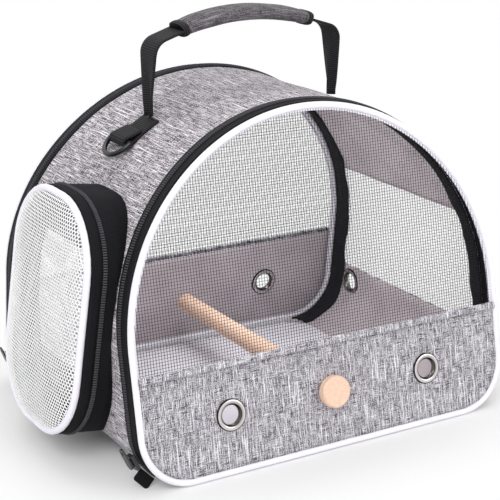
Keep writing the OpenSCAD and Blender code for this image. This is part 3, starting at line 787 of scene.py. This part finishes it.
def net(end):
    """Upright and level threads between the hem and the arch."""
    place_in, _, lean = ENDS[end]
    inset = PANEL_INSET - 0.001
    low, top = BAND_H - 0.002, top_at(0, inset, lean)
    inwards = place_in(0, 1, 0) - place_in(0, 0, 0)
    bm = bmesh.new()

    def thread(a, b):
        along = (b - a).normalized()
        block(bm, (a + b) / 2, ((b - a).length, THREAD_W[end], THREAD_T),
              (along, inwards.cross(along), inwards))

    count = int(side_at(low, inset, lean) / NET_PITCH)
    for k in range(-count, count + 1):
        x = k * NET_PITCH
        thread(place_in(x, PIPING_Y, low), place_in(x, PIPING_Y, top_at(x, inset, lean)))
    for k in range(1, int((top - low) / NET_PITCH)):
        z = low + k * NET_PITCH
        half = side_at(z, inset, lean)
        if half > NET_PITCH:
            y = PIPING_Y + 0.0002
            thread(place_in(-half, y, z), place_in(half, y, z))
    return piece(end + "_window_threads", bm, end + "_door", black_net,
                 [end + "_net"], smooth=False)


def hem(end):
    """The tape over the net's lower edge, a little fuller along its middle."""
    place_in, _, lean = ENDS[end]
    half = side_at(BAND_H, PANEL_INSET, lean)

    def place(u, v):
        return place_in(u * half, 0.0002 + 0.0008 * abs(v - 0.5), BAND_H - 0.003 + v * 0.005)

    bm = grid(steps(-1, 1, 60), steps(0, 1, 4), place)
    map_cloth(bm, lambda corner, uv: (corner.z, corner.x))
    return piece(end + "_window_hem", bm, end + "_door", heather_band,
                 [end + "_binding"], thick=0.0036, offset=0.0)


def edge_ring(end, inset, y, r, name, stands_for=()):
    """White cord round a panel."""
    place_in, _, lean = ENDS[end]
    bm = cord(panel_path(inset, lean, place_in, y), r, sides=8)
    return piece(end + name, bm, end + "_door", piping_cloth, stands_for)


for end in ENDS:
    threads_made = net(end)
    hem(end)
    edge_ring(end, PIPING_R, PIPING_Y, PIPING_R - 0.0001, "_piping_cord", [end + "_piping"])
    edge_ring(end, PANEL_INSET + 0.0006, PIPING_Y + 0.0008, 0.0009, "_inner_seam")
    print(end, "net faces:", len(threads_made.data.polygons))

# %% [markdown]
# ## Eyelets
# An eyelet is a pressed nickel ring: a rounded flange outside, a barrel through the cloth and
# the same flange inside. Its profile is carried round a circle. A plain metal shader would
# mirror only the pale world, so the dark and bright reflections that polished nickel shows
# are painted into its colour in bands along the profile: painted reflection, not the
# metal's own tone.

# %% Nickel ring with painted reflections
nickel_ring_painted_reflections, tree, shader = finish("nickel_ring_painted_reflections", (0.8, 0.8, 0.8, 1), 0.22, metallic=1.0)
where = node(tree, "ShaderNodeTexCoord")
parts = node(tree, "ShaderNodeSeparateXYZ")
tree.links.new(where.outputs["UV"], parts.inputs[0])
# Painted reflections: each stop is what polished nickel would mirror at that place on the
# profile, dark on the flange's outer slope, bright over its crest, dark on its inner slope and
# mid grey in the barrel.
painted_reflection_rings = [(0.0, srgb(30, 28, 28)), (0.27, srgb(46, 43, 42)), (0.36, srgb(222, 218, 217)),
         (0.60, srgb(178, 173, 172)), (0.68, srgb(44, 41, 40)), (1.0, srgb(120, 116, 115))]
tree.links.new(ramp(tree, parts.outputs["Y"], painted_reflection_rings), shader.inputs["Base Color"])
print("rings in the nickel:", len(painted_reflection_rings))

# %% Eyelets
BORE_R, RIM_R, FLANGE = 0.0075, 0.0125, 0.0013
SIDE_EYELET_Y, SIDE_EYELET_Z = 0.0895, 0.043
CLAMPED = 0.003  # the cloth between the two flanges of a band's eyelet


def eyelet_profile(cloth):
    """(radius, height) over the outer flange, down the barrel and over the inner flange."""
    inner = BORE_R + 0.0008
    middle, half = (RIM_R + inner) / 2, (RIM_R - inner) / 2
    outer = [(RIM_R, cloth / 2)]
    for a in steps(0, math.pi, 8):
        outer.append((middle + half * math.cos(a), cloth / 2 + FLANGE * math.sin(a) ** 0.6))
    outer += [(BORE_R, cloth / 2 - 0.0004), (BORE_R, 0)]
    return outer + [(r, -h) for r, h in outer[-2::-1]]


def eyelet(name, centre, outward, cloth, body, stands_for):
    """A ring through cloth of a thickness."""
    profile = eyelet_profile(cloth)
    last = len(profile) // 2
    turn = Vector(outward).to_track_quat("Z", "Y").to_matrix()

    def place(u, v):
        r, h = profile[round(v * last)]
        return centre + turn @ Vector((r * math.cos(u), r * math.sin(u), h))

    bm = grid(steps(0, 2 * math.pi, 48), steps(0, 2, 2 * last), place)
    map_cloth(bm, lambda corner, uv: (uv[0], min(uv[1], 2 - uv[1])))
    bmesh.ops.recalc_face_normals(bm, faces=bm.faces)
    return piece(name, bm, body, nickel_ring_painted_reflections, stands_for)


SIDES = {"left": -1, "right": 1}
for side, sign in SIDES.items():
    for end, (place_in, _, _) in ENDS.items():
        outward = place_in(0, 0, 0) - place_in(0, 1, 0)
        eyelet(end + "_" + side + "_ring", place_in(sign * EYELET_X, PIPING_Y, EYELET_Z),
               outward, CLAMPED, end + "_door", [end + "_eyelet_" + side])
    centre = Vector((sign * (HALF_W - WALL / 2), SIDE_EYELET_Y, SIDE_EYELET_Z))
    eyelet("side_" + side + "_ring", centre, (sign, 0, 0), WALL, "body",
           ["side_eyelet_" + side])
bore(tunnel, [(Vector((sign * HALF_W, SIDE_EYELET_Y, SIDE_EYELET_Z)), EYELET_HOLE)
              for sign in (-1, 1)], (1, 0, 0))
print("eyelets made")

# %% [markdown]
# ## Side windows
# The side net has six-sided holes, and so has the pocket's, finer. Wires would cross at each
# knot, so both nets are made from one tile instead: a hexagon whose face is inset and whose
# middle is deleted. The tile is copied into a honeycomb, welded, and bent to its wall.

# %% Honeycomb net
def honeycomb(width, height, pitch, yarn, inside):
    """A flat sheet of six-sided holes, centred on the origin, where inside(x, y) is true."""
    bm = bmesh.new()
    r = pitch / math.sqrt(3)
    step_y = pitch * math.sqrt(3) / 2
    for j in range(-int(height / 2 / step_y), int(height / 2 / step_y) + 1):
        for i in range(-int(width / 2 / pitch) - 1, int(width / 2 / pitch) + 1):
            x, y = (i + (j % 2) / 2) * pitch, j * step_y
            if inside(x, y):
                bmesh.ops.create_circle(bm, cap_ends=True, segments=6, radius=r,
                                        matrix=Matrix.Translation((x, y, 0)))
    bmesh.ops.remove_doubles(bm, verts=bm.verts, dist=pitch * 0.05)
    cells = list(bm.faces)
    bmesh.ops.inset_individual(bm, faces=cells, thickness=yarn / 2, depth=0)
    bmesh.ops.delete(bm, geom=cells, context="FACES")
    map_cloth(bm, lambda corner, uv: corner.xy)
    return bm


print("honeycomb ready")


# %% Side windows
SIDE_HOLE, SIDE_YARN, SIDE_NET_T = 0.0034, 0.0010, 0.0004
SIDE_LONG = 0.21  # a little longer than the window
HIDDEN = 0.002  # the net goes on this far under the cloth


def side_window(name, sign, stands_for):
    height = WINDOW_S[1] - WINDOW_S[0]
    middle = WINDOW_S[0] + height / 2

    def inside(y, s):
        _, z = arch(middle + s)
        first = depth_y(z, LEFT_FROM if sign < 0 else 0)
        return abs(s) < height / 2 + HIDDEN and first - HIDDEN < y < depth_y(z, 1) + HIDDEN

    bm = honeycomb(SIDE_LONG, height + 3 * HIDDEN, SIDE_HOLE, SIDE_YARN, inside)
    for v in bm.verts:
        x, z = arch(middle + v.co.y, -WALL / 2)
        v.co = Vector((sign * x, v.co.x, z))
    bmesh.ops.recalc_face_normals(bm, faces=bm.faces)
    return piece(name, bm, "body", white_net, stands_for, thick=SIDE_NET_T,
                 offset=0.0, smooth=False)


for side, sign in (("right", 1), ("left", -1)):
    obj = side_window(side + "_window_mesh", sign, ["window_net_" + side])
    print(side, "window faces:", len(obj.data.polygons))

# %% [markdown]
# ## Side pocket
# The pocket is a zipped pouch: a black wall that stands on the tunnel, a zip round it, and
# a face with white piping and a net that swells outwards. It leans in with the side. A
# simulated cushion would do, but its outline has to meet the solids, so each part is carried
# round one outline in the pocket's own leaning frame.

# %% Pocket frame
POCKET_W, POCKET_H, POCKET_D = 0.134, 0.186, 0.022
POCKET_Y, POCKET_Z, POCKET_LEAN = 0.051 + POCKET_W / 2 - BASE_D / 2, 0.114, math.radians(8)
POCKET_TOP, POCKET_LOW, COVER_D, DOME = 0.056, 0.054, 0.011, 0.009  # radii, cover, swell
OUTLINE_STEP = 0.008


def pocket(depth, y, z):
    """A place on the pocket: depth in from the face, along the side, and up the face."""
    c, s = math.cos(POCKET_LEAN), math.sin(POCKET_LEAN)
    x = -HALF_W - POCKET_D + depth * c + z * s
    return Vector((x, POCKET_Y + y, POCKET_Z - depth * s + z * c))


def pocket_outline(inset):
    """(y, z) round the pocket's face, drawn in by inset."""
    w, h = POCKET_W / 2 - inset, POCKET_H / 2 - inset
    low, top = POCKET_LOW - inset, POCKET_TOP - inset
    corners = [(w - low, low - h, low, -90), (w - top, h - top, top, 0),
               (top - w, h - top, top, 90), (low - w, low - h, low, 180)]
    points = []
    for y, z, r, first in corners:
        for turn in steps(first, first + 90, 9):
            a = math.radians(turn)
            points.append((y + r * math.cos(a), z + r * math.sin(a)))
    dense = []
    for (y, z), (y1, z1) in zip(points, points[1:] + points[:1]):
        m = max(1, round(math.dist((y, z), (y1, z1)) / OUTLINE_STEP))
        dense += [(y + (y1 - y) * i / m, z + (z1 - z) * i / m) for i in range(m)]
    return dense


def in_outline(y, z, inset):
    """Distance inside the pocket's outline drawn in by inset; negative outside."""
    w, h = POCKET_W / 2 - inset, POCKET_H / 2 - inset
    r = (POCKET_TOP if z > 0 else POCKET_LOW) - inset
    dy, dz = abs(y) - (w - r), abs(z) - (h - r)
    if dy > 0 and dz > 0:
        return r - math.hypot(dy, dz)
    return min(w - abs(y), h - abs(z))


print("pocket outline points:", len(pocket_outline(0)))


# %% Pocket wall and piping
def side_x(z):
    """Half width of the tunnel's outside at height z."""
    return arch(arch_at(max(z, 0.001)))[0]


def pocket_wall(name, depths, body, stands_for, meets_tunnel=False):
    """The pouch's wall between two depths. Its last row may be carried on to the tunnel."""
    outline = pocket_outline(0)
    closed = outline + outline[:1]
    lengths = along_path(closed)
    where = dict(zip(lengths, closed))

    def place(u, v):
        y, z = where[u]
        p = pocket(v, y, z)
        if meets_tunnel and v == depths[-1]:
            for _ in range(6):
                v += (abs(p.x) - side_x(p.z)) / math.cos(POCKET_LEAN)
                p = pocket(v, y, z)
        return p

    bm = grid(lengths, depths, place)
    bmesh.ops.remove_doubles(bm, verts=bm.verts, dist=1e-5)
    bmesh.ops.recalc_face_normals(bm, faces=bm.faces)
    return piece(name, bm, body, pocket_cloth, stands_for, thick=0.0016)


pocket_wall("pocket_wall", steps(COVER_D + GAP, 0.023, 4) + [0.024], "body", ["pocket_base"],
            meets_tunnel=True)
pocket_wall("pocket_rim", steps(PIPING_R, COVER_D, 3), "pocket_cover", ["pocket_cover"])
ring = [pocket(0.0004, y, z) for y, z in pocket_outline(PIPING_R)]
piece("pocket_piping_cord", cord(ring, PIPING_R), "pocket_cover", piping_cloth,
      ["pocket_piping"])
print("pocket wall made, piping points:", len(ring))

# %% Pocket net
POCKET_HOLE, POCKET_YARN, POCKET_NET_T = 0.0029, 0.0010, 0.00035
SWELL_W = 0.045  # the net reaches its full height this far in from the piping


def pocket_face():
    inset = 2 * PIPING_R - 0.0012
    bm = honeycomb(POCKET_W, POCKET_H, POCKET_HOLE, POCKET_YARN,
                   lambda y, z: in_outline(y, z, inset) > 0)
    for v in bm.verts:
        y, z = v.co.x, v.co.y
        near = max(0.0, in_outline(y, z, inset)) / SWELL_W
        rise = DOME * math.sqrt(max(0.0, 1 - (1 - min(near, 1)) ** 2))
        fold = wrinkle((y * 2.2, z * 0.8, 0.2), 0.04, 0.0012) * min(near, 1)
        v.co = pocket(-rise * 0.95 - fold + 0.0002, y, z)
    bmesh.ops.recalc_face_normals(bm, faces=bm.faces)
    return piece("pocket_mesh", bm, "pocket_cover", white_net, ["pocket_net"],
                 thick=POCKET_NET_T, offset=0.0, smooth=False)


print("pocket net faces:", len(pocket_face().data.polygons))


# %% Pocket zip
def pocket_rows():
    """The teeth round the pocket's wall, an even pitch apart along its outline."""
    outline = pocket_outline(0)
    origin = pocket(0, 0, 0)
    deep = (pocket(1, 0, 0) - origin).normalized()
    middle = pocket(COVER_D + GAP + COIL_W / 2, 0, 0)
    rows = []
    travelled = 0.0
    for a, b in zip(outline, outline[1:] + outline[:1]):
        gap = math.dist(a, b)
        along = (pocket(0, *b) - pocket(0, *a)).normalized()
        out = along.cross(deep).normalized()
        while travelled < gap:
            f = travelled / gap
            y, z = a[0] + (b[0] - a[0]) * f, a[1] + (b[1] - a[1]) * f
            centre = middle + pocket(0, y, z) - origin
            if out.dot(centre - middle) < 0:
                out = -out
            rows.append((centre + out * COIL_H / 2, along, out))
            travelled += PITCH
        travelled -= gap
    return rows


rows = pocket_rows()
teeth("pocket_teeth", rows, ["pocket_coil"])
print("pocket teeth:", len(rows))

# %% [markdown]
# ## The handle
# Two pieces of webbing stand up from folds on the tunnel and run into a padded grip. A strap
# could be a curve with a bevel, but webbing is flat and gathers at its foot, so each is a
# grid along its path. The grip is a grid bent into a soft oval.

# %% Handle paths
STRAP_W, STRAP_T, STRAP_X, HANDLE_Y = 0.025, 0.002, 0.084, 0.010
GRIP_L, GRIP_W, GRIP_T, BEND_R, FOOT_W = 0.116, 0.029, 0.012, 0.013, 0.009
GRIP_Z = BODY_H + 0.050 + GRIP_T / 2
SAG = 0.009
GRIP_ARC = ((GRIP_L / 2) ** 2 + SAG ** 2) / (2 * SAG)
GRIP_A = math.asin(GRIP_L / 2 / GRIP_ARC)
FOOT_A = math.acos((STRAP_X - STRAP_T / 2) / CROWN_R)
FOOT_Z = BODY_H - CROWN_R + (CROWN_R + STRAP_T) * math.sin(FOOT_A) + FOOT_W / 2 + GAP + 0.0005


def grip_path(n, reach=1.0):
    """2n + 1 points along the grip's sagging arc; reach 1 ends at the grip's ends."""
    return [Vector((GRIP_ARC * math.sin(a), 0, GRIP_Z - GRIP_ARC + GRIP_ARC * math.cos(a)))
            for a in (GRIP_A * reach * k / n for k in range(-n, n + 1))]


def leg_path():
    """From inside the grip's left end, round the bend, and down to the foot."""
    end = grip_path(1)[0]
    run = STRAP_X - GRIP_L / 2 - BEND_R
    cx, cz = -STRAP_X + BEND_R, end.z - run * math.tan(GRIP_A) - BEND_R * 1.05
    points = [Vector((end.x + 0.004, 0, end.z + 0.0006)), end]
    for k in range(9):
        a = math.pi / 2 + GRIP_A + (math.pi / 2 - GRIP_A) * k / 8
        points.append(Vector((cx + BEND_R * math.cos(a), 0, cz + BEND_R * math.sin(a))))
    bend = points[-1]
    foot = Vector((-STRAP_X, 0, FOOT_Z - FOOT_W / 2 + 0.0005))
    return points + [bend.lerp(foot, k / 12) for k in range(1, 13)]


print("grip at:", round(GRIP_Z, 4), "foot at:", round(FOOT_Z, 4))

# %% Handle straps
GATHER_H = 0.046  # the strap narrows over this height above its foot
PINCH = 0.0022  # how far the gathered cloth folds out of flat there


def leg(side, sign):
    points = leg_path()
    lengths = along_path(points)
    where = dict(zip(lengths, points))

    def place(u, v):
        p = where[u]
        half = STRAP_W / 2
        close = (p.z - FOOT_Z) / GATHER_H
        if close < 1:
            half = FOOT_W / 2 + (half - FOOT_W / 2) * max(close, 0) ** 0.8
        pinch = (1 - min(max(close, 0), 1)) * PINCH * math.cos(v * math.pi * 2.0)
        return Vector((-sign * (p.x + pinch), HANDLE_Y + v * 2 * half, p.z))

    bm = grid(lengths, steps(-0.5, 0.5, 10), place)
    bmesh.ops.recalc_face_normals(bm, faces=bm.faces)
    return piece(side + "_handle_webbing", bm, "handle", webbing,
                 ["handle_strap_" + side], thick=0.0017, offset=0.0)


for side, sign in SIDES.items():
    print(side, "handle strap faces:", len(leg(side, sign).data.polygons))


# %% Grip and collars
GRIP_GIRTH = 0.07  # metres of cloth round the grip
COLLAR_FROM, COLLAR_TO = 0.0525, 0.0605


def roll(name, reach, width, thick, material, stands_for, n=40):
    """A soft oval along the grip's arc between two places across."""
    points = [p for p in grip_path(n, 1.1) if reach[0] <= p.x <= reach[1]]
    lengths = along_path(points)
    where = {length: i for i, length in enumerate(lengths)}
    total = lengths[-1]

    def place(u, v):
        i = where[u]
        p = points[i]
        d = (points[min(i + 1, len(points) - 1)] - points[max(i - 1, 0)]).normalized()
        up = Vector((-d.z, 0, d.x))
        a = 2 * math.pi * v
        c = math.copysign(abs(math.cos(a)) ** 0.75, math.cos(a))
        s = math.copysign(abs(math.sin(a)) ** 0.75, math.sin(a))
        swell = 1 - 0.16 * abs(2 * u / total - 1) ** 4
        rough = 1 + wrinkle((u, v * 0.1, 0.5), 0.018, 0.05)
        return (Vector((p.x, HANDLE_Y, p.z)) + up * (s * thick / 2 * swell * rough)
                + Vector((0, 1, 0)) * (c * width / 2 * swell * rough))

    bm = grid(lengths, steps(0, 1, 28), place)
    map_cloth(bm, lambda corner, uv: (uv[0], uv[1] * GRIP_GIRTH))
    ends = [e for e in bm.edges if e.is_boundary]
    bmesh.ops.holes_fill(bm, edges=ends, sides=0)
    bmesh.ops.recalc_face_normals(bm, faces=bm.faces)
    return piece(name, bm, "handle", material, stands_for)


grip = roll("padded_grip", (-GRIP_L / 2, GRIP_L / 2), GRIP_W, GRIP_T, heather_grip,
            ["handle_grip"])
for side, reach in (("left", (-COLLAR_TO, -COLLAR_FROM)), ("right", (COLLAR_FROM, COLLAR_TO))):
    roll(side + "_grip_collar", reach, GRIP_W * 0.93, GRIP_T * 0.98, webbing,
         (), n=60)
print("grip faces:", len(grip.data.polygons))

# %% [markdown]
# ## Webbing on the tunnel
# Below each fold the strap is sewn flat to the tunnel, and its end turns round the ring's
# bar and back on itself. A strap pressed onto the cloth would need a shrinkwrap; the crown is
# one arc, so the path is written from that arc's centre, and a grid follows it.

# %% Sewn straps
RING_A, WIRE_R = math.radians(51), 0.002
BAR_R = CROWN_R + STRAP_T + WIRE_R + GAP
TAIL_L = 0.014  # the strap's end beyond the bar


def sewn_strap(side, sign):
    centre = Vector((0, 0, BODY_H - CROWN_R))
    outward = Vector((-math.cos(RING_A), 0, math.sin(RING_A)))
    down = Vector((-math.sin(RING_A), 0, -math.cos(RING_A)))
    bar = centre + outward * BAR_R
    hole = WIRE_R + GAP + STRAP_T / 2
    high = math.acos((STRAP_X - STRAP_T) / CROWN_R)
    points = [centre + Vector((-math.cos(a), 0, math.sin(a))) * (CROWN_R + STRAP_T / 2)
              for a in steps(high, RING_A + 0.03, 10)]
    points += [bar + down * (hole * math.sin(a)) - outward * (hole * math.cos(a))
               for a in steps(0, math.pi, 10)]
    tail = bar - down * TAIL_L - outward * (hole - STRAP_T * 0.9)
    points += [points[-1].lerp(tail, k / 5) for k in range(1, 6)]
    lengths = along_path(points)
    where = dict(zip(lengths, points))

    def place(u, v):
        p = where[u]
        return Vector((-sign * p.x, HANDLE_Y + v, p.z))

    bm = grid(lengths, steps(-STRAP_W / 2, STRAP_W / 2, 8), place)
    bmesh.ops.recalc_face_normals(bm, faces=bm.faces)
    return piece(side + "_sewn_webbing", bm, "body", webbing,
                 ["sewn_strap_" + side], thick=0.0018, offset=0.0)


for side, sign in SIDES.items():
    print(side, "strap faces:", len(sewn_strap(side, sign).data.polygons))

# %% [markdown]
# ## Light and floor
# Three large soft lamps and a pale world light the cloth plainly, and a small weak one lifts
# the shade inside. The floor's edge and the background are white to the camera because of
# their own colour, not because of more light on the carrier.

# %% Lamps
AIM = Vector((0, 0, 0.12))


def lamp(name, place, size, watts):
    """A square lamp that faces the carrier."""
    data = bpy.data.lights.new(name, "AREA")
    data.size = size
    data.energy = watts
    obj = add_object(name, data)
    obj.location = place
    obj.rotation_euler = (AIM - Vector(place)).to_track_quat("-Z", "Y").to_euler()


lamp("key", (-1.6, -1.4, 1.8), 1.4, 33)
lamp("fill", (1.2, -1.5, 0.9), 1.2, 12)
lamp("top", (0.2, 0.6, 2.0), 1.6, 14)
lamp("inside", (0, 0.02, 0.235), 0.12, 0.35)
print("lamps:", len(bpy.data.lights))

# %% World
SKY_LIGHT, SKY_SEEN = 0.55, 1.0  # the world's strength as light, and as it is seen


def number(tree, operation, a, b):
    """One step of arithmetic between two sockets."""
    made = node(tree, "ShaderNodeMath", operation=operation)
    tree.links.new(a, made.inputs[0])
    tree.links.new(b, made.inputs[1])
    return made.outputs[0]


def seen_directly(tree):
    """1 for a ray from the camera, off a mirror or through glass, and 0 for other light."""
    path = node(tree, "ShaderNodeLightPath").outputs
    plain = number(tree, "MAXIMUM", path["Is Camera Ray"], path["Is Glossy Ray"])
    return number(tree, "MAXIMUM", plain, path["Is Transmission Ray"])


world = bpy.data.worlds.new("studio")
bpy.context.scene.world = world
world.use_nodes = True
tree = world.node_tree
sky = tree.nodes["Background"]
sky.inputs["Color"].default_value = WHITE
strength = node(tree, "ShaderNodeMapRange", To_Min=SKY_LIGHT, To_Max=SKY_SEEN)
tree.links.new(seen_directly(tree), strength.inputs["Value"])
tree.links.new(strength.outputs["Result"], sky.inputs["Strength"])
print("world as light:", SKY_LIGHT, "and as seen:", SKY_SEEN)

# %% Floor
FLOOR_HALF = 6
PAPER_FROM, PAPER_TO = 0.15, 0.34  # the floor turns white between these distances

bm = bmesh.new()
bmesh.ops.create_grid(bm, x_segments=2, y_segments=2, size=FLOOR_HALF)
floor = mesh_object("floor", bm)
floor_paint, tree, shader = finish("floor_paint", (0.86, 0.86, 0.86, 1), 0.9)
where = node(tree, "ShaderNodeTexCoord")
distance = node(tree, "ShaderNodeVectorMath", operation="LENGTH")
tree.links.new(where.outputs["Object"], distance.inputs[0])
away = node(tree, "ShaderNodeMapRange", From_Min=PAPER_FROM, From_Max=PAPER_TO)
tree.links.new(distance.outputs["Value"], away.inputs["Value"])
white = node(tree, "ShaderNodeEmission", Strength=1.0)
blend = node(tree, "ShaderNodeMixShader")
amount = number(tree, "MULTIPLY", seen_directly(tree), away.outputs["Result"])
tree.links.new(amount, blend.inputs[0])
tree.links.new(shader.outputs[0], blend.inputs[1])
tree.links.new(white.outputs[0], blend.inputs[2])
tree.links.new(blend.outputs[0], tree.nodes["Material Output"].inputs["Surface"])
floor.data.materials.append(floor_paint)
bpy.context.scene.view_settings.view_transform = "Standard"
print("stage set")
